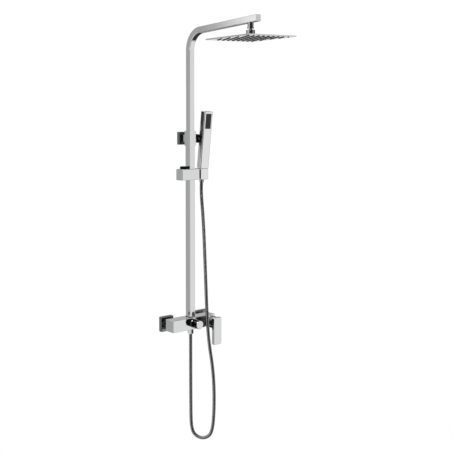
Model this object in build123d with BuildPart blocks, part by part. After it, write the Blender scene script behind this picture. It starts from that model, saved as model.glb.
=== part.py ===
# Rainfall shower column for an exposed two-inlet mixer, wall mounted.
# Millimetres. Origin on the wall midway between the two inlets, +X right, +Y into the wall, +Z up.
import os
from math import cos, pi, radians, sin, sqrt, tan

from build123d import *

os.makedirs("parts", exist_ok=True)

# Driving dimensions: wall connections
inlet_spacing = 150.0
stud_r = 10.48
stud_length = 14.0
union_r = 12.0
union_bore_r = 7.0
nut_r = 15.5
nut_length = 10.0
escutcheon_side = 52.0
escutcheon_depth = 13.0
escutcheon_wall = 1.5
seal_thickness = 2.0
rim_round = 3.0
fit = 0.3

# Driving dimensions: mixer body and its controls
body_length = 182.0
body_depth = 42.0
body_height = 41.0
body_back = 24.0
body_round = 1.5
cartridge_x = 62.0
cartridge_r = 17.0
cartridge_depth = 24.0
rotor_r = 10.0
dome_r = 21.0
dome_sphere_r = 24.5
parting_depth = 18.0
dome_gap = 0.7
stem_r = 4.0
stem_ball_r = 5.0
hub_length = 22.0
lever_width = 34.0
lever_top = 20.5
lever_drop = 74.0
lever_thickness = 11.0
diverter_r = 10.5
diverter_depth = 24.0
spindle_r = 4.0
collar_r = 16.5
collar_length = 4.0
knob_r = 15.0
knob_length = 26.0

# Driving dimensions: riser, telescopic arm and wall bracket
riser_y = -44.0
lower_side = 23.2
upper_side = 20.0
tube_wall = 1.2
tube_round = 1.6
gasket = 1.6
riser_plug = 28.0
riser_top = 640.0
sleeve_bottom = 605.0
sleeve_height = 50.0
sleeve_side = 28.0
bush_height = 11.0
slide_clearance = 0.2
tail_bottom = 400.0
arm_z = 992.0
arm_reach = 370.0
arm_rise = 2.5
bend_r = 62.0
cap_thickness = 4.0
flange_side = 43.0
flange_depth = 13.0
neck_side = 24.0
post_r = 7.0
plate_side = 34.0
plate_thickness = 3.0
screw_pitch = 22.0
screw_r = 2.0
screw_length = 28.0
lock_x = 30.5
lock_offset = 6.0
lock_boss_r = 7.0
lock_stud_r = 3.5
lock_drop = 22.0
lock_width = 7.0
lock_blade = 9.0

# Driving dimensions: overhead rose
head_side = 195.0
head_setback = 30.0
rose_tilt = 2.0
head_z = 934.0
face_thickness = 1.2
mat_thickness = 1.0
shell_thickness = 1.4
nozzle_rows = 14
nozzle_pitch = 20.0
nozzle_shift = 6.0
nozzle_field = 160.0
mat_margin = 10.0
nozzle_r = 2.2
nozzle_drop = 2.0
boss_r = 16.0
boss_height = 5.0
ball_z = 953.0
ball_r = 9.5
ball_neck_r = 5.5
ball_nut_r = 13.5
ball_nut_top = 6.0
nipple_r = 9.0
nipple_flange_r = 10.5

# Driving dimensions: slider, cradle and hand shower
slider_z = 509.5
slider_height = 37.0
slider_depth = 34.5
slider_left = -46.5
slider_right = 27.0
slider_round = 1.5
liner_wall = 1.5
button_x = -27.0
button_r = 13.0
button_height = 9.0
button_travel = 4.0
button_bore = 14.0
button_stem_r = 6.0
washer_r = 13.0
washer_length = 5.0
pin_r = 4.0
cradle_width = 33.0
handset_lean = 7.0
handset_axis_y = -48.0
handset_seat = 2.0
cone_top_r = 9.8
cone_bottom_r = 8.0
cone_tail = 8.0
handset_width = 35.0
handset_thickness = 22.0
handset_length = 191.0
handset_round = 2.5
panel_width = 23.0
panel_length = 50.0
panel_depth = 3.0
panel_top_gap = 7.0

# Driving dimensions: hose
hose_r = 5.75
hose_bore_r = 4.0
rib_count = 190
rib_height = 0.55
outlet_r = 8.0
socket_depth = 9.5
outlet_flange_r = 11.0
hose_nut_r = 9.5
hose_nut_length = 16.0
hose_lead = 28.0

# Derived places
body_front = -(body_back + body_depth)
body_y = -(body_back + body_depth / 2)
body_top = body_height / 2
inner_lower = lower_side - 2 * tube_wall
pivot_y = body_front - parting_depth + sqrt(dome_sphere_r**2 - dome_r**2)
hub_front = body_front - parting_depth - hub_length
sleeve_top = sleeve_bottom + sleeve_height
sleeve_middle = sleeve_bottom + sleeve_height / 2
lock_y = riser_y - lock_offset
lock_z = sleeve_middle + 7.0
head_y = head_setback - arm_reach
rise = radians(arm_rise)
arm_plane = Plane(origin=(0, -arm_reach, arm_z), x_dir=(1, 0, 0), z_dir=(0, -cos(rise), sin(rise)))
bend_end_y = riser_y - bend_r * (1 - sin(rise))
bend_end_z = arm_z - (bend_end_y + arm_reach) * tan(rise)
bend_start = bend_end_z - bend_r * cos(rise)
nipple_top = arm_z - head_setback * tan(rise) - upper_side / 2 / cos(rise)
rose_plane = Plane(origin=(0, head_y, ball_z)).rotated((0, -rose_tilt, 0))
slider_top = slider_z + slider_height / 2
cradle_left = slider_right + washer_length
cradle_x = cradle_left + cradle_width / 2
lean = radians(handset_lean)
handset_up = Vector(0, -sin(lean), cos(lean))
handset_front = Vector(0, -cos(lean), -sin(lean))
handset_foot = Vector(cradle_x, handset_axis_y, slider_z)
handset_plane = Plane(origin=handset_foot, x_dir=(1, 0, 0), z_dir=handset_up)


def out_plane(x, y, z=0.0):
    """Sketch plane facing away from the wall: sketch x is +X, sketch y is +Z."""
    return Plane(origin=(x, y, z), x_dir=(1, 0, 0), z_dir=(0, -1, 0))


def write(builder, name):
    """Label a finished sub-part and write its STEP file."""
    builder.part.label = name
    export_step(builder.part, f"parts/{name}.step")
    print(f"{name}: {len(builder.part.solids())} solid, {builder.part.volume / 1000:.2f} cm3")


# Mixer body: one rectangular brass bar, bored for its cartridges and connections
with BuildPart() as valve_body:
    with Locations((0, body_y, 0)):
        Box(body_length, body_depth, body_height)
    fillet(valve_body.edges(), body_round)
    with BuildSketch(out_plane(cartridge_x, body_front)):
        Circle(cartridge_r + fit)
    extrude(amount=-cartridge_depth, mode=Mode.SUBTRACT)
    with BuildSketch(out_plane(0, body_front)):
        Circle(diverter_r + fit)
    extrude(amount=-diverter_depth, mode=Mode.SUBTRACT)
    with BuildSketch(out_plane(0, -body_back)):
        with GridLocations(inlet_spacing, 1, 2, 1):
            Circle(union_bore_r)
    extrude(amount=body_depth / 3, mode=Mode.SUBTRACT)
    with BuildSketch(Plane.XY.offset(body_top)):
        with Locations((0, riser_y)):
            Circle(outlet_r)
    extrude(amount=-socket_depth, mode=Mode.SUBTRACT)
    with BuildSketch(Plane.XY.offset(-body_top)):
        with Locations((0, body_y)):
            Circle(outlet_r)
    extrude(amount=socket_depth, mode=Mode.SUBTRACT)
write(valve_body, "valve_body")

# Wall unions, their nuts and cover plates, one set for each inlet
for side, inlet_x in (("left", -inlet_spacing / 2), ("right", inlet_spacing / 2)):
    with BuildPart() as inlet_union:
        with BuildSketch(out_plane(inlet_x, stud_length)):
            Circle(stud_r)
            Circle(union_bore_r, mode=Mode.SUBTRACT)
        extrude(amount=stud_length)
        with BuildSketch(out_plane(inlet_x, 0)):
            Circle(union_r)
            Circle(union_bore_r, mode=Mode.SUBTRACT)
        extrude(amount=body_back - seal_thickness)
    write(inlet_union, f"inlet_union_{side}")

    with BuildPart() as union_nut:
        with BuildSketch(out_plane(inlet_x, -body_back + nut_length)):
            RegularPolygon(nut_r, 6)
            Circle(union_r + fit, mode=Mode.SUBTRACT)
        extrude(amount=nut_length)
    write(union_nut, f"union_nut_{side}")

    with BuildPart() as inlet_seal:
        with BuildSketch(out_plane(inlet_x, -body_back + seal_thickness)):
            Circle(union_r)
            Circle(union_bore_r, mode=Mode.SUBTRACT)
        extrude(amount=seal_thickness)
    write(inlet_seal, f"inlet_seal_{side}")

    with BuildPart() as escutcheon:
        with BuildSketch(out_plane(inlet_x, 0)):
            RectangleRounded(escutcheon_side, escutcheon_side, rim_round)
        extrude(amount=escutcheon_depth)
        fillet(escutcheon.faces().sort_by(Axis.Y)[0].edges(), rim_round - 0.5)
        with BuildSketch(out_plane(inlet_x, 0)):
            Rectangle(escutcheon_side - 4 * escutcheon_wall, escutcheon_side - 4 * escutcheon_wall)
        extrude(amount=escutcheon_depth - escutcheon_wall, mode=Mode.SUBTRACT)
        with BuildSketch(out_plane(inlet_x, 0)):
            Circle(union_r + fit)
        extrude(amount=escutcheon_depth, mode=Mode.SUBTRACT)
    write(escutcheon, f"escutcheon_{side}")

# Ceramic mixing cartridge, held in the body by a ring nut under a domed cover
with BuildPart() as mixer_cartridge:
    with BuildSketch(out_plane(cartridge_x, body_front + cartridge_depth)):
        Circle(cartridge_r)
    extrude(amount=cartridge_depth)
    with BuildSketch(out_plane(cartridge_x, body_front)):
        Circle(rotor_r + fit)
    extrude(amount=-cartridge_depth / 2, mode=Mode.SUBTRACT)
write(mixer_cartridge, "mixer_cartridge")

with BuildPart() as cartridge_nut:
    with BuildSketch(out_plane(cartridge_x, body_front)):
        Circle(cartridge_r)
        Circle(rotor_r + 2 * fit, mode=Mode.SUBTRACT)
    extrude(amount=4.0)
write(cartridge_nut, "cartridge_nut")

with BuildPart() as cartridge_cover:
    with BuildSketch(out_plane(cartridge_x, body_front)):
        Circle(dome_r)
    extrude(amount=dome_sphere_r + parting_depth)
    with Locations((cartridge_x, pivot_y, 0)):
        Sphere(dome_sphere_r, mode=Mode.INTERSECT)
    with BuildSketch(out_plane(cartridge_x, body_front)):
        Circle(cartridge_r + fit)
    extrude(amount=parting_depth - 4.0, mode=Mode.SUBTRACT)
    with BuildSketch(out_plane(cartridge_x, body_front)):
        Circle(13.5)
    extrude(amount=dome_sphere_r + parting_depth, mode=Mode.SUBTRACT)
write(cartridge_cover, "cartridge_cover")

# Rotor in the cartridge: turns for temperature and cups the lever's ball
with BuildPart() as temperature_rotor:
    with BuildSketch(out_plane(cartridge_x, body_front + cartridge_depth / 2)):
        Circle(rotor_r)
    extrude(amount=cartridge_depth / 2 + body_front - pivot_y + 2.0)
    with BuildSketch(out_plane(cartridge_x, pivot_y + stem_ball_r + fit)):
        Circle(stem_ball_r + fit)
    extrude(amount=stem_ball_r + 8.0, mode=Mode.SUBTRACT)
write(temperature_rotor, "temperature_rotor")

# Lever stem, its ball in the rotor's cup and its tip in the hub
with BuildPart() as lever_stem:
    with BuildSketch(out_plane(cartridge_x, pivot_y)):
        Circle(stem_r)
    extrude(amount=pivot_y - hub_front - 4.0)
    with Locations((cartridge_x, pivot_y, 0)):
        Sphere(stem_ball_r)
write(lever_stem, "lever_stem")

# Handle hub: same diameter as the cover, hollowed to a ball so that it can rock over the dome
with BuildPart() as handle_hub:
    with BuildSketch(out_plane(cartridge_x, hub_front)):
        Circle(dome_r)
    extrude(amount=-(pivot_y - hub_front))
    with Locations((cartridge_x, pivot_y, 0)):
        Sphere(dome_sphere_r + dome_gap, mode=Mode.SUBTRACT)
    with BuildSketch(out_plane(cartridge_x, hub_front + 4.0)):
        Circle(stem_r)
    extrude(amount=-dome_sphere_r, mode=Mode.SUBTRACT)
write(handle_hub, "handle_hub")

# Handle lever: a flat paddle that hangs down in front of the hub
with BuildPart() as handle_lever:
    with BuildSketch(out_plane(cartridge_x, hub_front)):
        with Locations((0, (lever_top - lever_drop) / 2)):
            RectangleRounded(lever_width, lever_top + lever_drop, 5.0)
    extrude(amount=lever_thickness)
    chamfer(handle_lever.faces().sort_by(Axis.Y)[0].edges(), 0.8)
write(handle_lever, "handle_lever")

# Diverter: cartridge in the body, a fixed collar, and a spindle with its round knob
with BuildPart() as diverter_cartridge:
    with BuildSketch(out_plane(0, body_front + diverter_depth)):
        Circle(diverter_r)
    extrude(amount=diverter_depth)
    with BuildSketch(out_plane(0, body_front)):
        Circle(spindle_r + fit)
    extrude(amount=-diverter_depth / 2, mode=Mode.SUBTRACT)
write(diverter_cartridge, "diverter_cartridge")

with BuildPart() as diverter_collar:
    with BuildSketch(out_plane(0, body_front)):
        Circle(collar_r)
        Circle(spindle_r + fit, mode=Mode.SUBTRACT)
    extrude(amount=collar_length)
    chamfer(diverter_collar.faces().sort_by(Axis.Y)[0].edges().sort_by(SortBy.LENGTH)[-1], 0.8)
write(diverter_collar, "diverter_collar")

knob_back = body_front - collar_length - 0.5
with BuildPart() as diverter_spindle:
    with BuildSketch(out_plane(0, body_front + diverter_depth / 2)):
        Circle(spindle_r)
    extrude(amount=diverter_depth / 2 + body_front - knob_back + knob_length / 2)
write(diverter_spindle, "diverter_spindle")

with BuildPart() as diverter_knob:
    with BuildSketch(out_plane(0, knob_back)):
        Circle(knob_r)
    extrude(amount=knob_length)
    chamfer(diverter_knob.faces().sort_by(Axis.Y)[0].edges(), 1.2)
    with BuildSketch(out_plane(0, knob_back)):
        Circle(spindle_r)
    extrude(amount=knob_length / 2, mode=Mode.SUBTRACT)
write(diverter_knob, "diverter_knob")

# Riser foot: a nipple in the body, a square gasket and the lower tube standing on it
with BuildPart() as riser_nipple:
    with BuildSketch(Plane.XY.offset(body_top - socket_depth)):
        with Locations((0, riser_y)):
            Circle(outlet_r)
            Circle(outlet_r - 2.5, mode=Mode.SUBTRACT)
    extrude(amount=socket_depth + riser_plug)
write(riser_nipple, "riser_nipple")

with BuildPart() as riser_gasket:
    with BuildSketch(Plane.XY.offset(body_top)):
        with Locations((0, riser_y)):
            Rectangle(lower_side, lower_side)
            Circle(outlet_r + fit, mode=Mode.SUBTRACT)
    extrude(amount=gasket)
write(riser_gasket, "riser_gasket")

with BuildPart() as riser_lower:
    with BuildSketch(Plane.XY.offset(body_top + gasket)):
        with Locations((0, riser_y)):
            RectangleRounded(lower_side, lower_side, tube_round)
            Rectangle(inner_lower, inner_lower, mode=Mode.SUBTRACT)
    extrude(amount=riser_top - body_top - gasket)
write(riser_lower, "riser_lower")

# Wall bracket: screwed plate with a post, square cover, and the sleeve that grips both tubes
with BuildPart() as bracket_plate:
    with BuildSketch(out_plane(0, 0, sleeve_middle)):
        Rectangle(plate_side, plate_side)
        with GridLocations(1, screw_pitch, 1, 2):
            Circle(screw_r + 0.25, mode=Mode.SUBTRACT)
    extrude(amount=plate_thickness)
    with BuildSketch(out_plane(0, -plate_thickness, sleeve_middle)):
        Circle(post_r)
    extrude(amount=18.0)
write(bracket_plate, "bracket_plate")

for place, sign in (("upper", 1), ("lower", -1)):
    with BuildPart() as bracket_screw:
        with BuildSketch(out_plane(0, -plate_thickness, sleeve_middle + sign * screw_pitch / 2)):
            Circle(1.7 * screw_r)
        extrude(amount=2.0)
        with BuildSketch(out_plane(0, -plate_thickness, sleeve_middle + sign * screw_pitch / 2)):
            Circle(screw_r)
        extrude(amount=-screw_length)
    write(bracket_screw, f"bracket_screw_{place}")

with BuildPart() as bracket_flange:
    with BuildSketch(out_plane(0, 0, sleeve_middle)):
        RectangleRounded(flange_side, flange_side, rim_round)
    extrude(amount=flange_depth)
    fillet(bracket_flange.faces().sort_by(Axis.Y)[0].edges(), rim_round - 0.5)
    with BuildSketch(out_plane(0, 0, sleeve_middle)):
        Rectangle(plate_side + 2 * fit, plate_side + 2 * fit)
    extrude(amount=flange_depth - escutcheon_wall, mode=Mode.SUBTRACT)
    with BuildSketch(out_plane(0, 0, sleeve_middle)):
        Rectangle(neck_side + 2 * fit, neck_side + 2 * fit)
    extrude(amount=flange_depth, mode=Mode.SUBTRACT)
write(bracket_flange, "bracket_flange")

neck_start = -flange_depth + 4.0
with BuildPart() as bracket_sleeve:
    with BuildSketch(Plane.XY.offset(sleeve_bottom)):
        with Locations((0, riser_y)):
            RectangleRounded(sleeve_side, sleeve_side, tube_round)
    extrude(amount=sleeve_height)
    with BuildSketch(out_plane(0, neck_start, sleeve_middle)):
        Rectangle(neck_side, neck_side)
    extrude(until=Until.NEXT)
    with BuildSketch(Plane.XY.offset(sleeve_bottom)):
        with Locations((0, riser_y)):
            Rectangle(lower_side + 2 * slide_clearance, lower_side + 2 * slide_clearance)
    extrude(amount=riser_top + bush_height - sleeve_bottom, mode=Mode.SUBTRACT)
    with BuildSketch(Plane.XY.offset(sleeve_bottom)):
        with Locations((0, riser_y)):
            Rectangle(upper_side + 4 * slide_clearance, upper_side + 4 * slide_clearance)
    extrude(amount=sleeve_height, mode=Mode.SUBTRACT)
    with BuildSketch(out_plane(0, neck_start, sleeve_middle)):
        Circle(post_r)
    extrude(amount=plate_thickness + 18.0 + neck_start + 0.5, mode=Mode.SUBTRACT)
    with BuildSketch(Plane.YZ.offset(lower_side / 2)):
        with Locations((lock_y, lock_z)):
            Circle(lock_stud_r + slide_clearance)
    extrude(amount=sleeve_side, mode=Mode.SUBTRACT)
write(bracket_sleeve, "bracket_sleeve")

with BuildPart() as guide_bush:
    with BuildSketch(Plane.XY.offset(riser_top)):
        with Locations((0, riser_y)):
            Rectangle(lower_side + 2 * slide_clearance, lower_side + 2 * slide_clearance)
            Rectangle(upper_side + 2 * slide_clearance, upper_side + 2 * slide_clearance, mode=Mode.SUBTRACT)
    extrude(amount=bush_height)
    with BuildSketch(Plane.YZ.offset(lower_side / 2 - 0.5)):
        with Locations((lock_y, lock_z)):
            Circle(lock_stud_r + 1.0)
    extrude(amount=lower_side, mode=Mode.SUBTRACT)
write(guide_bush, "guide_bush")

# Height lock: a short lever on a stud through the sleeve's right side
with BuildPart() as lock_lever:
    with BuildSketch(Plane.YZ.offset(lower_side / 2 + slide_clearance)):
        with Locations((lock_y, lock_z)):
            Circle(lock_stud_r)
    extrude(amount=(sleeve_side - lower_side) / 2 + 2.0)
    with BuildSketch(Plane.YZ.offset(sleeve_side / 2 + fit)):
        with Locations((lock_y, lock_z)):
            Circle(lock_boss_r)
    extrude(amount=lock_x - sleeve_side / 2 - fit)
    with BuildSketch(Plane.YZ.offset(lock_x - lock_width)):
        with Locations((lock_y, lock_z - lock_drop / 2)):
            Rectangle(lock_blade, lock_drop)
    extrude(amount=lock_width - 1.0)
write(lock_lever, "lock_lever")

# Telescopic arm: one bent square tube whose tail runs down inside the lower tube
with BuildPart() as riser_arm:
    with BuildLine() as arm_path:
        Line((0, riser_y, tail_bottom), (0, riser_y, bend_start))
        TangentArc((0, riser_y, bend_start), (0, bend_end_y, bend_end_z), tangent=(0, 0, 1))
        Line((0, bend_end_y, bend_end_z), (0, -arm_reach, arm_z))
    with BuildSketch(Plane.XY.offset(tail_bottom)):
        with Locations((0, riser_y)):
            RectangleRounded(upper_side, upper_side, tube_round)
            Rectangle(upper_side - 2 * tube_wall, upper_side - 2 * tube_wall, mode=Mode.SUBTRACT)
    sweep(path=arm_path.wires()[0])
    with BuildSketch(Plane.XY.offset(nipple_top - 2.0)):
        with Locations((0, head_y)):
            Circle(nipple_r - 2.0)
    extrude(amount=tube_wall + 4.0, mode=Mode.SUBTRACT)
write(riser_arm, "riser_arm")

with BuildPart() as arm_end_cap:
    with BuildSketch(arm_plane):
        RectangleRounded(upper_side, upper_side, tube_round)
    extrude(amount=cap_thickness)
    with BuildSketch(arm_plane):
        Rectangle(upper_side - 2 * tube_wall - 0.2, upper_side - 2 * tube_wall - 0.2)
    extrude(amount=-6.0)
write(arm_end_cap, "arm_end_cap")

# Sealing piston at the tail of the arm, with its ring
with BuildPart() as arm_piston:
    with BuildSketch(Plane.XY.offset(tail_bottom - 14.0)):
        with Locations((0, riser_y)):
            Rectangle(upper_side, upper_side)
            Circle(6.0, mode=Mode.SUBTRACT)
    extrude(amount=14.0)
    with BuildSketch(Plane.XY.offset(tail_bottom - 9.0)):
        with Locations((0, riser_y)):
            Rectangle(upper_side, upper_side)
            Rectangle(upper_side - 3.0, upper_side - 3.0, mode=Mode.SUBTRACT)
    extrude(amount=4.0, mode=Mode.SUBTRACT)
write(arm_piston, "arm_piston")

with BuildPart() as piston_ring:
    with BuildSketch(Plane.XY.offset(tail_bottom - 9.0)):
        with Locations((0, riser_y)):
            Rectangle(inner_lower - 2 * 0.15, inner_lower - 2 * 0.15)
            Rectangle(upper_side - 3.0, upper_side - 3.0, mode=Mode.SUBTRACT)
    extrude(amount=4.0)
write(piston_ring, "piston_ring")

# Ball joint under the arm: nipple with ball, seat, nut
with BuildPart() as head_nipple:
    with BuildSketch(Plane.XY.offset(ball_z)):
        with Locations((0, head_y)):
            Circle(ball_neck_r)
    extrude(amount=nipple_top - ball_z + 1.0)
    with BuildSketch(Plane.XY.offset(ball_z + ball_nut_top + 4.0)):
        with Locations((0, head_y)):
            Circle(nipple_flange_r)
    extrude(amount=3.0)
    with BuildSketch(Plane.XY.offset(ball_z + ball_nut_top + 7.0)):
        with Locations((0, head_y)):
            Circle(nipple_r)
    extrude(amount=nipple_top - ball_z - ball_nut_top - 6.0)
    with Locations((0, head_y, ball_z)):
        Sphere(ball_r)
    with BuildSketch(Plane.XY.offset(ball_z - ball_r)):
        with Locations((0, head_y)):
            Circle(3.0)
    extrude(amount=nipple_top - ball_z + ball_r + 1.0, mode=Mode.SUBTRACT)
    under_arm = Plane(origin=(0, head_y, nipple_top), x_dir=(1, 0, 0), z_dir=(0, sin(rise), cos(rise)))
    split(bisect_by=under_arm, keep=Keep.BOTTOM)
write(head_nipple, "head_nipple")

seat_r = ball_r + 2.4
face_depth = head_z - ball_z
mat_depth = face_depth + face_thickness
boss_depth = mat_depth + mat_thickness + shell_thickness
boss_top = boss_depth + boss_height
with BuildPart() as ball_seat:
    with Locations((0, head_y, ball_z)):
        Sphere(seat_r)
        Sphere(ball_r + fit, mode=Mode.SUBTRACT)
    with BuildSketch(rose_plane.offset(-ball_r)):
        Circle(seat_r)
    extrude(amount=ball_r - 2.0, mode=Mode.INTERSECT)
write(ball_seat, "ball_seat")

with BuildPart() as ball_nut:
    with BuildSketch(rose_plane.offset(boss_top)):
        Circle(ball_nut_r)
    extrude(amount=ball_nut_top - boss_top)
    fillet(ball_nut.faces().sort_by(Axis.Z)[-1].edges(), 1.2)
    with BuildSketch(rose_plane.offset(boss_top)):
        Circle(seat_r + fit)
    extrude(amount=1.0 - boss_top, mode=Mode.SUBTRACT)
    with Locations((0, head_y, ball_z)):
        Sphere(ball_r + 2 * fit, mode=Mode.SUBTRACT)
    with BuildSketch(rose_plane.offset(boss_top)):
        Circle(ball_neck_r + 2.6)
    extrude(amount=2 * ball_r, mode=Mode.SUBTRACT)
write(ball_nut, "ball_nut")

# Overhead rose: nozzle plate, rubber nozzle mat and a thin pressed shell with its boss.
# Each row of nozzles is shifted sideways from the last, so the nozzles stand in slanted lines.
mat_side = nozzle_field + 2 * mat_margin
nozzle_places = []
for row in range(nozzle_rows):
    row_y = row * nozzle_field / (nozzle_rows - 1) - nozzle_field / 2
    row_start = row * nozzle_shift % nozzle_pitch - nozzle_field / 2
    row_count = int((nozzle_field / 2 - row_start) // nozzle_pitch) + 1
    nozzle_places += [(row_start + column * nozzle_pitch, row_y) for column in range(row_count)]
with BuildPart() as head_face:
    with BuildSketch(rose_plane.offset(face_depth)):
        RectangleRounded(head_side, head_side, 2.0)
        with Locations(*nozzle_places):
            Circle(nozzle_r + fit / 2, mode=Mode.SUBTRACT)
    extrude(amount=face_thickness)
write(head_face, "head_face")

with BuildPart() as head_nozzles:
    with BuildSketch(rose_plane.offset(mat_depth)):
        Rectangle(mat_side, mat_side)
    extrude(amount=mat_thickness)
    with BuildSketch(rose_plane.offset(mat_depth)):
        with Locations(*nozzle_places):
            Circle(nozzle_r)
    extrude(amount=-face_thickness - nozzle_drop)
write(head_nozzles, "head_nozzles")

with BuildPart() as head_shell:
    with BuildSketch(rose_plane.offset(mat_depth)):
        RectangleRounded(head_side, head_side, 2.0)
        Rectangle(mat_side + 2 * fit, mat_side + 2 * fit, mode=Mode.SUBTRACT)
    extrude(amount=mat_thickness)
    with BuildSketch(rose_plane.offset(mat_depth + mat_thickness)):
        RectangleRounded(head_side, head_side, 2.0)
    extrude(amount=shell_thickness)
    with BuildSketch(rose_plane.offset(boss_depth)):
        Circle(boss_r)
    extrude(amount=boss_height, taper=12)
    with BuildSketch(rose_plane.offset(mat_depth + mat_thickness)):
        Circle(3.5)
    extrude(amount=shell_thickness + boss_height, mode=Mode.SUBTRACT)
    with Locations((0, head_y, ball_z)):
        Sphere(seat_r + fit, mode=Mode.SUBTRACT)
write(head_shell, "head_shell")

# Slider on the lower tube: a bar with a liner, a release button and its brake spring
with BuildPart() as slider_body:
    with Locations(((slider_left + slider_right) / 2, riser_y, slider_z)):
        Box(slider_right - slider_left, slider_depth, slider_height)
    fillet(slider_body.edges(), slider_round)
    with BuildSketch(Plane.XY.offset(slider_z - slider_height / 2)):
        with Locations((0, riser_y)):
            liner_side = lower_side + 2 * slide_clearance + 2 * liner_wall
            Rectangle(liner_side, liner_side)
    extrude(amount=slider_height, mode=Mode.SUBTRACT)
    with BuildSketch(Plane.XY.offset(slider_top)):
        with Locations((button_x, riser_y)):
            Circle(button_r + fit)
    extrude(amount=-button_travel - 1.0, mode=Mode.SUBTRACT)
    with BuildSketch(Plane.XY.offset(slider_top)):
        with Locations((button_x, riser_y)):
            Circle(button_stem_r + fit)
    extrude(amount=-button_bore - 4.0, mode=Mode.SUBTRACT)
    with BuildSketch(Plane.YZ.offset(slider_right)):
        with Locations((riser_y, slider_z)):
            Circle(pin_r)
    extrude(amount=-8.0, mode=Mode.SUBTRACT)
write(slider_body, "slider_body")

with BuildPart() as slider_liner:
    with BuildSketch(Plane.XY.offset(slider_z - slider_height / 2)):
        with Locations((0, riser_y)):
            Rectangle(liner_side, liner_side)
            Rectangle(lower_side + 2 * slide_clearance, lower_side + 2 * slide_clearance, mode=Mode.SUBTRACT)
    extrude(amount=slider_height)
write(slider_liner, "slider_liner")

button_foot = slider_top + button_travel + 2.5 - button_bore
spring_foot = slider_top - button_bore - 4.0
cap_foot = slider_top - 0.5
with BuildPart() as release_button:
    with BuildSketch(Plane.XY.offset(cap_foot)):
        with Locations((button_x, riser_y)):
            Circle(button_r)
    extrude(amount=button_height + 0.5)
    chamfer(release_button.faces().sort_by(Axis.Z)[-1].edges(), 0.8)
    with BuildSketch(Plane.XY.offset(cap_foot)):
        with Locations((button_x, riser_y)):
            Circle(button_stem_r)
    extrude(amount=button_foot - cap_foot)
write(release_button, "release_button")

with BuildPart() as button_spring:
    with BuildSketch(Plane.XY.offset(spring_foot)):
        with Locations((button_x, riser_y)):
            Circle(button_stem_r - 0.5)
            Circle(button_stem_r - 1.7, mode=Mode.SUBTRACT)
    extrude(amount=button_foot - spring_foot)
write(button_spring, "button_spring")

# Cradle: turns on a pin beside the slider and holds the hose's cone
with BuildPart() as cradle_pin:
    with BuildSketch(Plane.YZ.offset(slider_right - 8.0)):
        with Locations((riser_y, slider_z)):
            Circle(pin_r)
    extrude(amount=8.0 + washer_length + 4.0)
write(cradle_pin, "cradle_pin")

with BuildPart() as cradle_washer:
    with BuildSketch(Plane.YZ.offset(slider_right)):
        with Locations((riser_y, slider_z)):
            Circle(washer_r)
            Circle(pin_r, mode=Mode.SUBTRACT)
    extrude(amount=washer_length - fit)
write(cradle_washer, "cradle_washer")

half_cradle = slider_height / 2 / cos(lean) + handset_seat
with BuildPart() as cradle:
    with Locations((cradle_x, riser_y, slider_z)):
        Box(cradle_width, slider_depth, slider_height)
    fillet(cradle.edges(), slider_round)
    with BuildSketch(handset_plane.offset(-half_cradle)):
        Circle(cone_bottom_r + fit)
    with BuildSketch(handset_plane.offset(half_cradle)):
        Circle(cone_top_r + fit)
    loft(mode=Mode.SUBTRACT)
    with BuildSketch(Plane.YZ.offset(cradle_left)):
        with Locations((riser_y, slider_z)):
            Circle(pin_r + slide_clearance)
    extrude(amount=4.0 + fit, mode=Mode.SUBTRACT)
write(cradle, "cradle")

# Hose cone: the tapered nut of the hose, seated in the cradle and screwed to the hand shower
with BuildPart() as hose_cone:
    with BuildSketch(handset_plane.offset(-half_cradle)):
        Circle(cone_bottom_r)
    with BuildSketch(handset_plane.offset(half_cradle)):
        Circle(cone_top_r)
    loft()
    with BuildSketch(handset_plane.offset(-half_cradle)):
        Circle(cone_bottom_r)
    extrude(amount=-cone_tail)
    with BuildSketch(handset_plane.offset(-half_cradle - cone_tail)):
        Circle(hose_bore_r)
    extrude(amount=2 * half_cradle + cone_tail, mode=Mode.SUBTRACT)
write(hose_cone, "hose_cone")

# Hand shower: square stick with a recessed nozzle panel near its top
handset_base = half_cradle
panel_middle = handset_base + handset_length - panel_top_gap - panel_length / 2
with BuildPart() as handset_body:
    with BuildSketch(handset_plane.offset(handset_base)):
        RectangleRounded(handset_width, handset_thickness, handset_round)
    extrude(amount=handset_length)
    chamfer(handset_body.faces().sort_by(Axis.Z)[-1].edges(), 0.6)
    face_origin = handset_foot + handset_up * panel_middle + handset_front * (handset_thickness / 2)
    panel_plane = Plane(origin=face_origin, x_dir=(1, 0, 0), z_dir=handset_front)
    with BuildSketch(panel_plane):
        RectangleRounded(panel_width + 2 * fit, panel_length + 2 * fit, 1.5)
    extrude(amount=-panel_depth, mode=Mode.SUBTRACT)
    with BuildSketch(handset_plane.offset(handset_base)):
        Circle(6.0)
    extrude(amount=handset_length - 8.0, mode=Mode.SUBTRACT)
write(handset_body, "handset_body")

with BuildPart() as handset_panel:
    with BuildSketch(panel_plane.offset(-panel_depth)):
        RectangleRounded(panel_width, panel_length, 1.5)
    extrude(amount=panel_depth - 0.4)
write(handset_panel, "handset_panel")

with BuildPart() as handset_nozzles:
    with BuildSketch(panel_plane.offset(-0.4)):
        with GridLocations(4.5, 5.0, 4, 9):
            Circle(1.1)
    extrude(amount=1.2)
write(handset_nozzles, "handset_nozzles")

# Hose outlet under the body: threaded stub and the hose's lower nut
stub_length = 10.0
with BuildPart() as outlet_stub:
    with BuildSketch(Plane.XY.offset(-body_top + socket_depth)):
        with Locations((0, body_y)):
            Circle(outlet_r)
    extrude(amount=-socket_depth - stub_length)
    with BuildSketch(Plane.XY.offset(-body_top)):
        with Locations((0, body_y)):
            Circle(outlet_flange_r)
    extrude(amount=-3.0)
    with BuildSketch(Plane.XY.offset(-body_top + socket_depth)):
        with Locations((0, body_y)):
            Circle(hose_bore_r)
    extrude(amount=-socket_depth - stub_length, mode=Mode.SUBTRACT)
write(outlet_stub, "outlet_stub")

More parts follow.
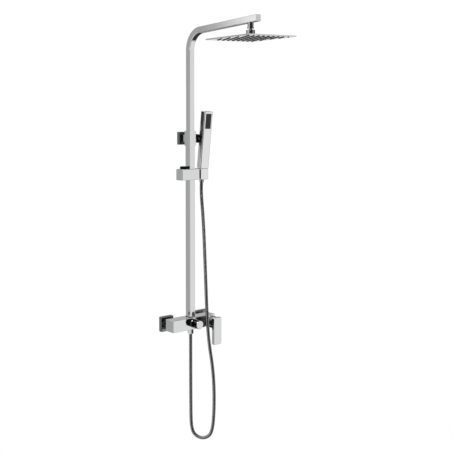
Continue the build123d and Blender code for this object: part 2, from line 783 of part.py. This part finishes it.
nut_top = -body_top - 3.0
hose_start = nut_top - hose_nut_length
with BuildPart() as hose_nut:
    with BuildSketch(Plane.XY.offset(nut_top)):
        with Locations((0, body_y)):
            RegularPolygon(hose_nut_r + 0.9, 6)
    extrude(amount=-hose_nut_length)
    with BuildSketch(Plane.XY.offset(nut_top)):
        with Locations((0, body_y)):
            Circle(outlet_r + 0.1)
    extrude(amount=-stub_length + 3.0 - 0.5, mode=Mode.SUBTRACT)
    with BuildSketch(Plane.XY.offset(nut_top)):
        with Locations((0, body_y)):
            Circle(hose_bore_r)
    extrude(amount=-hose_nut_length, mode=Mode.SUBTRACT)
write(hose_nut, "hose_nut")

# Flexible metal hose: points chosen along the photographed loop, from the body to the cone
hose_end = handset_foot - handset_up * (half_cradle + cone_tail)
hose_points = [
    Vector(0, body_y, hose_start),
    Vector(0, body_y, -305),
    Vector(1.5, -47, -386),
    Vector(13.5, -65, -410),
    Vector(32, -92, -410),
    Vector(44.5, -111, -384),
    Vector(48, -116.5, -290),
    Vector(42.5, -118, -170),
    Vector(29, -108, -60),
    Vector(28.5, -98, 45),
    Vector(39, -76.5, 200),
    Vector(48.5, -55, 350),
    hose_end - handset_up * hose_lead,
    hose_end,
]
hose_radii = []
for before, corner, after in zip(hose_points, hose_points[1:], hose_points[2:]):
    turn = radians((corner - before).get_angle(after - corner))
    shorter = min((corner - before).length, (after - corner).length)
    hose_radii.append(0.45 * shorter / tan(turn / 2))
print("hose radii:", [round(r) for r in hose_radii])

with BuildLine() as hose_path:
    FilletPolyline(*hose_points, radius=hose_radii)
hose_wire = hose_path.wires()[0]
hose_length = hose_wire.length
loop_run = hose_points[6] - hose_points[0]
loop_normal = Vector(-loop_run.Y, loop_run.X, 0).normalized()


def hose_section(distance):
    """Plane square to the hose at a distance along it, on a steady X axis."""
    share = distance / hose_length
    return Plane(origin=hose_wire @ share, x_dir=loop_normal, z_dir=hose_wire % share)


straight_end = 2 * hose_r
rib_pitch = (hose_length - 2 * straight_end) / rib_count
rib_profile = ((0.0, hose_r - rib_height), (0.2, hose_r), (0.6, hose_r), (0.8, hose_r - rib_height))
with BuildPart() as shower_hose:
    with BuildSketch(hose_section(0)):
        Circle(hose_r - rib_height)
    for rib in range(rib_count):
        for share, radius in rib_profile:
            with BuildSketch(hose_section(straight_end + (rib + share) * rib_pitch)):
                Circle(radius)
    with BuildSketch(hose_section(hose_length)):
        Circle(hose_r - rib_height)
    loft(ruled=True)
    with BuildSketch(hose_section(0)):
        Circle(hose_bore_r)
    sweep(path=hose_wire, mode=Mode.SUBTRACT)
write(shower_hose, "shower_hose")

mean_r2 = 0.0
for (start, r1), (end, r2) in zip(rib_profile, rib_profile[1:] + ((1.0, hose_r - rib_height),)):
    mean_r2 += (end - start) * (r1 * r1 + r1 * r2 + r2 * r2) / 3
ribbed = hose_length - 2 * straight_end
expected = pi * (mean_r2 * ribbed + (hose_r - rib_height) ** 2 * 2 * straight_end - hose_bore_r**2 * hose_length)
print(f"hose length {hose_length:.0f} mm, volume {shower_hose.part.volume:.0f} mm3 of {expected:.0f} mm3")
print(f"least gap between ribs {0.4 * rib_pitch:.2f} mm at the crest")
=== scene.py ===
from math import cos, pi, radians, sin

import bmesh
import bpy
from mathutils import Matrix, Vector


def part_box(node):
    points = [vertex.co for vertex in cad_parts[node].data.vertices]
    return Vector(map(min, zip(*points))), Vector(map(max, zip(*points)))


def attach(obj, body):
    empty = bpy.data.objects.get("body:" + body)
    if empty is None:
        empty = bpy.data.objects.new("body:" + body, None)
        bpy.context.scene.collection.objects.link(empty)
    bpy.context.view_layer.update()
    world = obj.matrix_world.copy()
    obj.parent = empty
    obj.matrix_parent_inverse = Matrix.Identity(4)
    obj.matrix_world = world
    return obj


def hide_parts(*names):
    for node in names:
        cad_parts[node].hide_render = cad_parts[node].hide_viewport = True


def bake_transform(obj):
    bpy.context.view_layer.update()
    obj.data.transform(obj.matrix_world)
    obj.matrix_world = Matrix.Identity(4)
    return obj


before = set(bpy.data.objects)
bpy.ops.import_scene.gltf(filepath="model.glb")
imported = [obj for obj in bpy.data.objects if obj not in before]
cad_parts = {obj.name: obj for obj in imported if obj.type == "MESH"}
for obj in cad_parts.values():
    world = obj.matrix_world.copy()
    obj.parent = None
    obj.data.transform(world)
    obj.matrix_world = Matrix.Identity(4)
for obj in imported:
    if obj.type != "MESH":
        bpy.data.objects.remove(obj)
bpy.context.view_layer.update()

# Camera: a level product shot from the front left, a little above the middle of the riser.
# The principal point lies left of the frame's centre, because the photograph was cropped there.
photo_side = 454.0
focal_px = 812.3
principal_x = 200.0
view_turn = radians(38.83)
view_drop = radians(7.18)
stand_off = 2.7413
side_step = 0.0355
eye_height = 0.6754
aim_depth = -0.040
eye = Vector((0.0, aim_depth, eye_height))
eye -= stand_off * Vector((sin(view_turn), cos(view_turn), 0.0))
eye += side_step * Vector((cos(view_turn), -sin(view_turn), 0.0))
camera_data = bpy.data.cameras.new("product_camera")
camera_data.sensor_width = 36.0
camera_data.lens = focal_px / photo_side * camera_data.sensor_width
camera_data.shift_x = (photo_side / 2 - principal_x) / photo_side
camera = bpy.data.objects.new("product_camera", camera_data)
camera.location = eye
camera.rotation_euler = (pi / 2 - view_drop, 0.0, -view_turn)
bpy.context.scene.collection.objects.link(camera)
bpy.context.scene.camera = camera
bpy.context.scene.view_settings.view_transform = "Standard"

# Flexible hose: a stainless strip wound round a rubber liner, so its skin is a row of fine round ribs.
# It leaves the stub under the mixer, hangs in one loop and climbs in front of the body to the cradle.
# Mirror-bright pieces leave it out, as the riser does in the photograph.
hose_radius = 0.00575
hose_rib_pitch = 0.0032
hose_rib_depth = 0.00055
handset_lean = radians(7.0)
handset_up = Vector((0.0, -sin(handset_lean), cos(handset_lean)))
nut_low, nut_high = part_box("hose_nut")
hose_start = Vector((0.0, (nut_low.y + nut_high.y) / 2, nut_low.z))
cradle_centre = Vector((0.0485, -0.048, 0.5095))
half_cradle = 0.0185
handset_seat = 0.002
cone_tail = 0.008
hose_lead = 0.028
hose_end = cradle_centre - handset_up * (half_cradle / cos(handset_lean) + handset_seat + cone_tail)
hose_route = [
    hose_start,
    Vector((0.0, hose_start.y, -0.305)),
    Vector((0.0015, -0.047, -0.386)),
    Vector((0.0135, -0.065, -0.410)),
    Vector((0.032, -0.092, -0.410)),
    Vector((0.0445, -0.111, -0.384)),
    Vector((0.048, -0.1165, -0.290)),
    Vector((0.0425, -0.118, -0.170)),
    Vector((0.029, -0.108, -0.060)),
    Vector((0.0285, -0.098, 0.045)),
    Vector((0.039, -0.0765, 0.200)),
    Vector((0.0485, -0.055, 0.350)),
    hose_end - handset_up * hose_lead,
    hose_end,
]
route_curve = bpy.data.curves.new("hose_route", "CURVE")
route_curve.dimensions = "3D"
route_spline = route_curve.splines.new("NURBS")
route_spline.points.add(len(hose_route) - 1)
for route_point, place in zip(route_spline.points, hose_route):
    route_point.co = (*place, 1.0)
route_spline.order_u = 3
route_spline.use_endpoint_u = True
route_spline.resolution_u = 64
route_object = bpy.data.objects.new("hose_route", route_curve)
bpy.context.scene.collection.objects.link(route_object)
route_mesh = bpy.data.meshes.new_from_object(route_object)
hose_line = [v.co.copy() for v in route_mesh.vertices]
bpy.data.objects.remove(route_object)
bpy.data.meshes.remove(route_mesh)
hose_marks = [0.0]
for here, there in zip(hose_line, hose_line[1:]):
    hose_marks.append(hose_marks[-1] + (there - here).length)
hose_length = hose_marks[-1]


def hose_place(distance):
    """Point and heading on the hose's line at a distance from the mixer's stub."""
    index = 0
    while index < len(hose_marks) - 2 and hose_marks[index + 1] < distance:
        index += 1
    run = hose_line[index + 1] - hose_line[index]
    return hose_line[index] + run.normalized() * (distance - hose_marks[index]), run.normalized()


def hose_steel():
    """Bright wound strip, its tone and dullness varying at random."""
    steel = bpy.data.materials.new("hose_steel")
    steel.use_nodes = True
    nodes, links = steel.node_tree.nodes, steel.node_tree.links
    skin = nodes["Principled BSDF"]
    skin.inputs["Metallic"].default_value = 1.0
    place = nodes.new("ShaderNodeTexCoord")
    grain = nodes.new("ShaderNodeTexNoise")
    grain.inputs["Scale"].default_value = 420.0
    grain.inputs["Detail"].default_value = 3.0
    links.new(place.outputs["Object"], grain.inputs["Vector"])
    tone = nodes.new("ShaderNodeValToRGB")
    tone.color_ramp.elements[0].position = 0.3
    tone.color_ramp.elements[0].color = (0.20, 0.20, 0.205, 1.0)
    tone.color_ramp.elements[1].position = 0.7
    tone.color_ramp.elements[1].color = (0.46, 0.465, 0.47, 1.0)
    links.new(grain.outputs["Fac"], tone.inputs["Fac"])
    links.new(tone.outputs["Color"], skin.inputs["Base Color"])
    dull = nodes.new("ShaderNodeMapRange")
    dull.inputs["To Min"].default_value = 0.10
    dull.inputs["To Max"].default_value = 0.22
    links.new(grain.outputs["Fac"], dull.inputs["Value"])
    links.new(dull.outputs["Result"], skin.inputs["Roughness"])
    return steel


hose_metal = hose_steel()
hose_side = Vector((0.83, 0.557, 0.0)).normalized()


def hose_stretch(name, first, last):
    """Ribbed tube along one stretch of the hose's line, with the points that it follows."""
    rib_profile = (1.0, 0.25, 0.0, 0.25)
    ring_sides = 18
    count = round((last - first) / hose_rib_pitch)
    pitch = (last - first) / count
    hose = bmesh.new()
    ring = None
    path = []
    for step in range(count * len(rib_profile) + 1):
        distance = first + step * pitch / len(rib_profile)
        centre, heading = hose_place(distance)
        path.append(centre)
        across = (hose_side - heading * hose_side.dot(heading)).normalized()
        turn = Matrix((across, heading.cross(across), heading)).transposed().to_4x4()
        radius = hose_radius - hose_rib_depth * rib_profile[step % len(rib_profile)]
        made = bmesh.ops.create_circle(hose, segments=ring_sides, radius=radius,
                                       matrix=Matrix.Translation(centre) @ turn)
        edges = list({e for v in made["verts"] for e in v.link_edges})
        if ring:
            bmesh.ops.bridge_loops(hose, edges=ring + edges)
        ring = edges
    bmesh.ops.recalc_face_normals(hose, faces=hose.faces)
    for face in hose.faces:
        face.smooth = True
    mesh = bpy.data.meshes.new(name)
    hose.to_mesh(mesh)
    hose.free()
    mesh.materials.append(hose_metal)
    tube = bpy.data.objects.new(name, mesh)
    bpy.context.scene.collection.objects.link(tube)
    tube.visible_glossy = False
    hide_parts("shower_hose")
    return tube, path


# The loop is attached to the column; the climbing strand and the two short lengths under the cone are cut
# apart from it and left fixed in place.
lowest_mark = hose_marks[min(range(len(hose_line)), key=lambda i: hose_line[i].z)]
past_lowest = 0.060
tilt_length = 0.200
lift_length = 0.045
loop_stretch = lowest_mark + past_lowest
tilt_stretch = hose_length - tilt_length
lift_stretch = hose_length - lift_length
hose_loop, loop_path = hose_stretch("hose_loop", 0.0, loop_stretch)
hose_climb, climb_path = hose_stretch("hose_climb", loop_stretch, tilt_stretch)
hose_middle, middle_path = hose_stretch("hose_middle", tilt_stretch, lift_stretch)
hose_upper, upper_path = hose_stretch("hose_upper", lift_stretch, hose_length)
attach(hose_loop, "column")
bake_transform(hose_climb)
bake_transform(hose_middle)
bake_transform(hose_upper)


# Polished plate: the mixer, tubes, bracket and fittings are brass with bright chrome on it.
# It mirrors the room, with a faint haze where it has been wiped and fine swirl marks from polishing.
def polished_plate(name, tint, haze_low, haze_high):
    """Mirror-bright metal with a slight, uneven haze."""
    plate = bpy.data.materials.new(name)
    plate.use_nodes = True
    nodes, links = plate.node_tree.nodes, plate.node_tree.links
    skin = nodes["Principled BSDF"]
    skin.inputs["Base Color"].default_value = (*tint, 1.0)
    skin.inputs["Metallic"].default_value = 1.0
    place = nodes.new("ShaderNodeTexCoord")
    wipe = nodes.new("ShaderNodeTexNoise")
    wipe.inputs["Scale"].default_value = 28.0
    wipe.inputs["Detail"].default_value = 5.0
    wipe.inputs["Distortion"].default_value = 0.6
    links.new(place.outputs["Object"], wipe.inputs["Vector"])
    haze = nodes.new("ShaderNodeMapRange")
    haze.inputs["From Min"].default_value = 0.3
    haze.inputs["From Max"].default_value = 0.7
    haze.inputs["To Min"].default_value = haze_low
    haze.inputs["To Max"].default_value = haze_high
    links.new(wipe.outputs["Fac"], haze.inputs["Value"])
    links.new(haze.outputs["Result"], skin.inputs["Roughness"])
    swirl = nodes.new("ShaderNodeTexNoise")
    swirl.inputs["Scale"].default_value = 900.0
    links.new(place.outputs["Object"], swirl.inputs["Vector"])
    lift = nodes.new("ShaderNodeBump")
    lift.inputs["Strength"].default_value = 0.015
    lift.inputs["Distance"].default_value = 0.0002
    links.new(swirl.outputs["Fac"], lift.inputs["Height"])
    links.new(lift.outputs["Normal"], skin.inputs["Normal"])
    return plate


def dress(finish, *names):
    """Give CAD nodes one finish."""
    for name in names:
        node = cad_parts[name]
        node.data.materials.clear()
        node.data.materials.append(finish)


chrome = polished_plate("chrome", (0.90, 0.905, 0.91), 0.05, 0.10)
dress(chrome, "valve_body", "union_nut_left", "union_nut_right", "cartridge_cover", "handle_lever",
      "diverter_collar", "riser_lower", "bracket_sleeve", "riser_arm", "arm_end_cap", "hose_cone", "hose_nut",
      "outlet_stub")

# Cover plates: three square plates drawn from thin brass sheet, pushed over the unions and the bracket's arm.
# Their plate has a darker tint than the castings: painted shade for the dark reflections on their faces.
plate_chrome_painted_shade = polished_plate("plate_chrome_painted_shade", (0.28, 0.283, 0.287), 0.05, 0.10)
dress(plate_chrome_painted_shade, "escutcheon_left", "escutcheon_right", "bracket_flange")

# Turned fittings: the nipple and nut of the rose's ball joint, and the hub of the lever.
# They are brass turned on a lathe and then plated. Their plate is tinted darker than the flat faces, and the
# hub's darker still: painted shade for the dark reflections on their round sides.
turned_chrome_painted_shade = polished_plate("turned_chrome_painted_shade", (0.50, 0.503, 0.507), 0.05, 0.10)
dress(turned_chrome_painted_shade, "head_nipple", "ball_nut")
hub_chrome_painted_shade = polished_plate("hub_chrome_painted_shade", (0.24, 0.242, 0.245), 0.05, 0.10)
dress(hub_chrome_painted_shade, "handle_hub")


# Diverter knob: a short cylinder of plated brass, turned on a lathe and pushed on the diverter's spindle.
# Its front keeps the bright plate and its side is tinted nearly black behind the front edge, a painted dark
# reflection.
def knob_plate_painted_reflection(bright, dark, front_edge, dark_edge):
    """Bright plate on the front face, with a painted dark reflection behind the knob's front edge."""
    plate = polished_plate("knob_chrome_painted_reflection", bright, 0.05, 0.10)
    nodes, links = plate.node_tree.nodes, plate.node_tree.links
    place = nodes.new("ShaderNodeTexCoord")
    along = nodes.new("ShaderNodeSeparateXYZ")
    links.new(place.outputs["Object"], along.inputs["Vector"])
    depth = nodes.new("ShaderNodeMapRange")
    depth.inputs["From Min"].default_value = front_edge
    depth.inputs["From Max"].default_value = dark_edge
    links.new(along.outputs["Y"], depth.inputs["Value"])
    tone = nodes.new("ShaderNodeValToRGB")
    tone.color_ramp.elements[0].color = (*bright, 1.0)
    tone.color_ramp.elements[1].color = (*dark, 1.0)
    links.new(depth.outputs["Result"], tone.inputs["Fac"])
    links.new(tone.outputs["Color"], nodes["Principled BSDF"].inputs["Base Color"])
    return plate


knob_front = min(v.co.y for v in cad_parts["diverter_knob"].data.vertices)
bright_rim = 0.0012
dark_rim = 0.0020
knob_chrome_painted_reflection = knob_plate_painted_reflection((0.90, 0.905, 0.91), (0.07, 0.07, 0.073),
                         knob_front + bright_rim, knob_front + dark_rim)
dress(knob_chrome_painted_reflection, "diverter_knob")

# Plated mouldings: the slider, the cradle and the hand shower are plated plastic.
# The cradle and the hand shower get a lighter copy of the same plate, painted light that makes them the
# brightest faces.
plated_moulding = polished_plate("plated_plastic", (0.90, 0.905, 0.91), 0.06, 0.12)
dress(plated_moulding, "slider_body")
plated_painted_light = polished_plate("plated_painted_light", (0.98, 0.98, 0.98), 0.06, 0.12)
dress(plated_painted_light, "cradle", "handset_body")

# Overhead rose: two pressed sheets of stainless steel, mirror finished on top and underneath.
# The face sheet is pierced in slanted lines for the rubber nozzles.
rose_steel = polished_plate("rose_steel", (0.84, 0.845, 0.85), 0.07, 0.14)
dress(rose_steel, "head_face", "head_shell")


# Rubber: moulded nozzles in the rose and the hand shower, and the seals between fittings.
# Silicone has a soft dull skin with a slight moulded grain.
def moulded(name, dark, light, rough):
    """Moulded rubber or plastic with a fine grain."""
    skin_material = bpy.data.materials.new(name)
    skin_material.use_nodes = True
    nodes, links = skin_material.node_tree.nodes, skin_material.node_tree.links
    skin = nodes["Principled BSDF"]
    skin.inputs["Roughness"].default_value = rough
    place = nodes.new("ShaderNodeTexCoord")
    grain = nodes.new("ShaderNodeTexNoise")
    grain.inputs["Scale"].default_value = 600.0
    grain.inputs["Detail"].default_value = 4.0
    links.new(place.outputs["Object"], grain.inputs["Vector"])
    tone = nodes.new("ShaderNodeValToRGB")
    tone.color_ramp.elements[0].color = (*dark, 1.0)
    tone.color_ramp.elements[1].color = (*light, 1.0)
    links.new(grain.outputs["Fac"], tone.inputs["Fac"])
    links.new(tone.outputs["Color"], skin.inputs["Base Color"])
    lift = nodes.new("ShaderNodeBump")
    lift.inputs["Strength"].default_value = 0.12
    lift.inputs["Distance"].default_value = 0.0003
    links.new(grain.outputs["Fac"], lift.inputs["Height"])
    links.new(lift.outputs["Normal"], skin.inputs["Normal"])
    return skin_material


nozzle_rubber = moulded("nozzle_rubber", (0.025, 0.025, 0.028), (0.06, 0.06, 0.065), 0.55)
dress(nozzle_rubber, "head_nozzles", "handset_nozzles")
seal_rubber = moulded("seal_rubber", (0.012, 0.012, 0.012), (0.03, 0.03, 0.03), 0.6)
dress(seal_rubber, "inlet_seal_left", "inlet_seal_right", "riser_gasket", "piston_ring")

# Inner mouldings: bushes, liner, washer, seat and cartridge are black engineering plastic.
# Only the washer beside the cradle and the edges of the liner show.
inner_plastic = moulded("inner_plastic", (0.02, 0.02, 0.022), (0.04, 0.04, 0.043), 0.45)
dress(inner_plastic, "mixer_cartridge", "temperature_rotor", "guide_bush", "arm_piston", "ball_seat",
      "slider_liner", "cradle_washer")

# Dark trim: the hand shower's nozzle panel, the slider's release button and the sleeve's lock lever.
# The panel is a glossy black moulding let into the plated body; button and lever are a duller black.
panel_plastic = moulded("panel_plastic", (0.012, 0.012, 0.013), (0.035, 0.035, 0.038), 0.28)
dress(panel_plastic, "handset_panel")
# The release button's near-black, stem included, is partly its own black and partly painted shade for the gap
# under its cap.
black_trim_and_painted_shade = moulded("black_trim_and_painted_shade", (0.002, 0.002, 0.002), (0.006, 0.006, 0.006), 0.5)
black_trim_and_painted_shade.node_tree.nodes["Principled BSDF"].inputs["Specular IOR Level"].default_value = 0.12
dress(black_trim_and_painted_shade, "release_button", "lock_lever")

# Hidden metal: turned brass in the water path, and zinc-plated steel in the fixings.
# Both are left as the lathe and the plating bath leave them, since covers hide nearly all of them.
turned_brass = polished_plate("turned_brass", (0.72, 0.55, 0.28), 0.22, 0.36)
dress(turned_brass, "inlet_union_left", "inlet_union_right", "cartridge_nut", "lever_stem",
      "diverter_cartridge", "diverter_spindle", "riser_nipple")
fixing_steel = polished_plate("fixing_steel", (0.62, 0.63, 0.64), 0.28, 0.42)
dress(fixing_steel, "bracket_plate", "bracket_screw_upper", "bracket_screw_lower", "cradle_pin",
      "button_spring")

# Floor: a plain pale sheet of card below the hose, no part of the shower.
# It is white to the camera, as the photograph's ground is, and left out of the mirror-bright metal.
floor_height = -1.1
floor_side = 6.0
floor_bm = bmesh.new()
bmesh.ops.create_grid(floor_bm, x_segments=1, y_segments=1, size=floor_side / 2,
                      matrix=Matrix.Translation((0.0, 0.0, floor_height)))
floor_mesh = bpy.data.meshes.new("floor")
floor_bm.to_mesh(floor_mesh)
floor_bm.free()
floor = bpy.data.objects.new("floor", floor_mesh)
bpy.context.scene.collection.objects.link(floor)
floor_paint = bpy.data.materials.new("floor_paint")
floor_paint.use_nodes = True
floor_nodes, floor_links = floor_paint.node_tree.nodes, floor_paint.node_tree.links
floor_skin = floor_nodes["Principled BSDF"]
floor_skin.inputs["Base Color"].default_value = (0.82, 0.82, 0.82, 1.0)
floor_skin.inputs["Roughness"].default_value = 0.9
floor_glow = floor_nodes.new("ShaderNodeEmission")
floor_glow.inputs["Color"].default_value = (1.0, 1.0, 1.0, 1.0)
floor_ray = floor_nodes.new("ShaderNodeLightPath")
floor_mix = floor_nodes.new("ShaderNodeMixShader")
floor_links.new(floor_ray.outputs["Is Camera Ray"], floor_mix.inputs["Fac"])
floor_links.new(floor_skin.outputs["BSDF"], floor_mix.inputs[1])
floor_links.new(floor_glow.outputs["Emission"], floor_mix.inputs[2])
floor_links.new(floor_mix.outputs["Shader"], floor_nodes["Material Output"].inputs["Surface"])
floor_mesh.materials.append(floor_paint)
floor.visible_glossy = False

# Studio: a white room with dark flags round the object, as polished metal is photographed.
# The camera sees plain white; mirrors see light walls, the flags between them and one bright side overhead.
world = bpy.data.worlds.new("studio")
bpy.context.scene.world = world
world.use_nodes = True
room, wires = world.node_tree.nodes, world.node_tree.links
room.clear()
way = room.new("ShaderNodeTexCoord")
parts = room.new("ShaderNodeSeparateXYZ")
wires.new(way.outputs["Generated"], parts.inputs["Vector"])
front = room.new("ShaderNodeMath")
front.operation = "MULTIPLY"
front.inputs[1].default_value = -1.0
wires.new(parts.outputs["Y"], front.inputs[0])
bearing = room.new("ShaderNodeMath")
bearing.operation = "ARCTAN2"
wires.new(parts.outputs["X"], bearing.inputs[0])
wires.new(front.outputs["Value"], bearing.inputs[1])
round_room = room.new("ShaderNodeMapRange")
round_room.inputs["From Min"].default_value = -pi
round_room.inputs["From Max"].default_value = pi
wires.new(bearing.outputs["Value"], round_room.inputs["Value"])


def wall(*stops):
    """One band of the room from (bearing in degrees, level) pairs: 0 is straight out from the wall."""
    ramp = room.new("ShaderNodeValToRGB")
    while len(ramp.color_ramp.elements) < len(stops):
        ramp.color_ramp.elements.new(1.0)
    for stop, (degrees, level) in zip(ramp.color_ramp.elements, stops):
        stop.position = (degrees + 180.0) / 360.0
        stop.color = (level, level, level, 1.0)
    wires.new(round_room.outputs["Result"], ramp.inputs["Fac"])
    return ramp.outputs["Color"]


def stacked(lower, upper, start, end):
    """The lower band up to one height, then the upper band from the next."""
    height = room.new("ShaderNodeMapRange")
    height.inputs["From Min"].default_value = start
    height.inputs["From Max"].default_value = end
    wires.new(parts.outputs["Z"], height.inputs["Value"])
    mix = room.new("ShaderNodeMix")
    mix.data_type = "RGBA"
    wires.new(height.outputs["Result"], mix.inputs[0])
    wires.new(lower, mix.inputs[6])
    wires.new(upper, mix.inputs[7])
    return mix.outputs[2]


floor_band = wall((-180, 0.04), (-160, 0.38), (-132, 0.38), (-122, 0.95), (-88, 0.95), (-66, 0.03), (8, 0.03),
                  (27, 0.74), (54, 0.76), (68, 0.03), (180, 0.04))
low_band = wall((-180, 0.40), (-132, 0.38), (-122, 0.95), (-88, 0.95), (-66, 0.03), (8, 0.03), (27, 0.74),
                (54, 0.75), (68, 0.04), (112, 0.05), (126, 0.90), (158, 0.90), (180, 0.40))
level_band = wall((-180, 0.30), (-160, 0.38), (-132, 0.38), (-122, 0.95), (-88, 0.95), (-66, 0.03), (8, 0.03),
                  (27, 0.72), (54, 0.75), (68, 0.04), (165, 0.03), (180, 0.30))
high_band = wall((-180, 0.03), (-150, 0.03), (-142, 0.37), (-139.9, 0.37), (-139.5, 0.57), (-138.8, 0.72),
                 (-138.3, 0.76), (-138.0, 0.92), (-88, 0.92), (-66, 0.03), (30, 0.03), (36, 0.60), (46, 0.60),
                 (53, 0.04), (112, 0.05), (126, 0.46), (158, 0.46), (172, 0.03), (180, 0.03))
roof_band = wall((-180, 1.0), (-75, 1.0), (-50, 0.06), (110, 0.06), (150, 0.60), (180, 1.0))
room_view = stacked(floor_band, low_band, -0.19, -0.15)
room_view = stacked(room_view, level_band, -0.06, -0.03)
room_view = stacked(room_view, high_band, 0.098, 0.112)
room_view = stacked(room_view, roof_band, 0.45, 0.60)
mirror_room = room.new("ShaderNodeBackground")
wires.new(room_view, mirror_room.inputs["Color"])
white_room = room.new("ShaderNodeBackground")
white_room.inputs["Color"].default_value = (1.0, 1.0, 1.0, 1.0)
soft_room = room.new("ShaderNodeBackground")
soft_room.inputs["Color"].default_value = (0.62, 0.62, 0.62, 1.0)
rays = room.new("ShaderNodeLightPath")
seen = room.new("ShaderNodeMixShader")
wires.new(rays.outputs["Is Glossy Ray"], seen.inputs["Fac"])
wires.new(soft_room.outputs["Background"], seen.inputs[1])
wires.new(mirror_room.outputs["Background"], seen.inputs[2])
shown = room.new("ShaderNodeMixShader")
wires.new(rays.outputs["Is Camera Ray"], shown.inputs["Fac"])
wires.new(seen.outputs["Shader"], shown.inputs[1])
wires.new(white_room.outputs["Background"], shown.inputs[2])
room_end = room.new("ShaderNodeOutputWorld")
wires.new(shown.outputs["Shader"], room_end.inputs["Surface"])

# Key light: one soft box on a stand, high at the left front.
# It puts the thin bright line on each top edge.
key_data = bpy.data.lights.new("key_box", "AREA")
key_data.energy = 22.0
key_data.size = 1.2
key = bpy.data.objects.new("key_box", key_data)
key.location = (-1.6, -1.8, 2.6)
key.rotation_euler = (Vector((0.0, -0.1, 0.5)) - key.location).to_track_quat("-Z", "Y").to_euler()
bpy.context.scene.collection.objects.link(key)
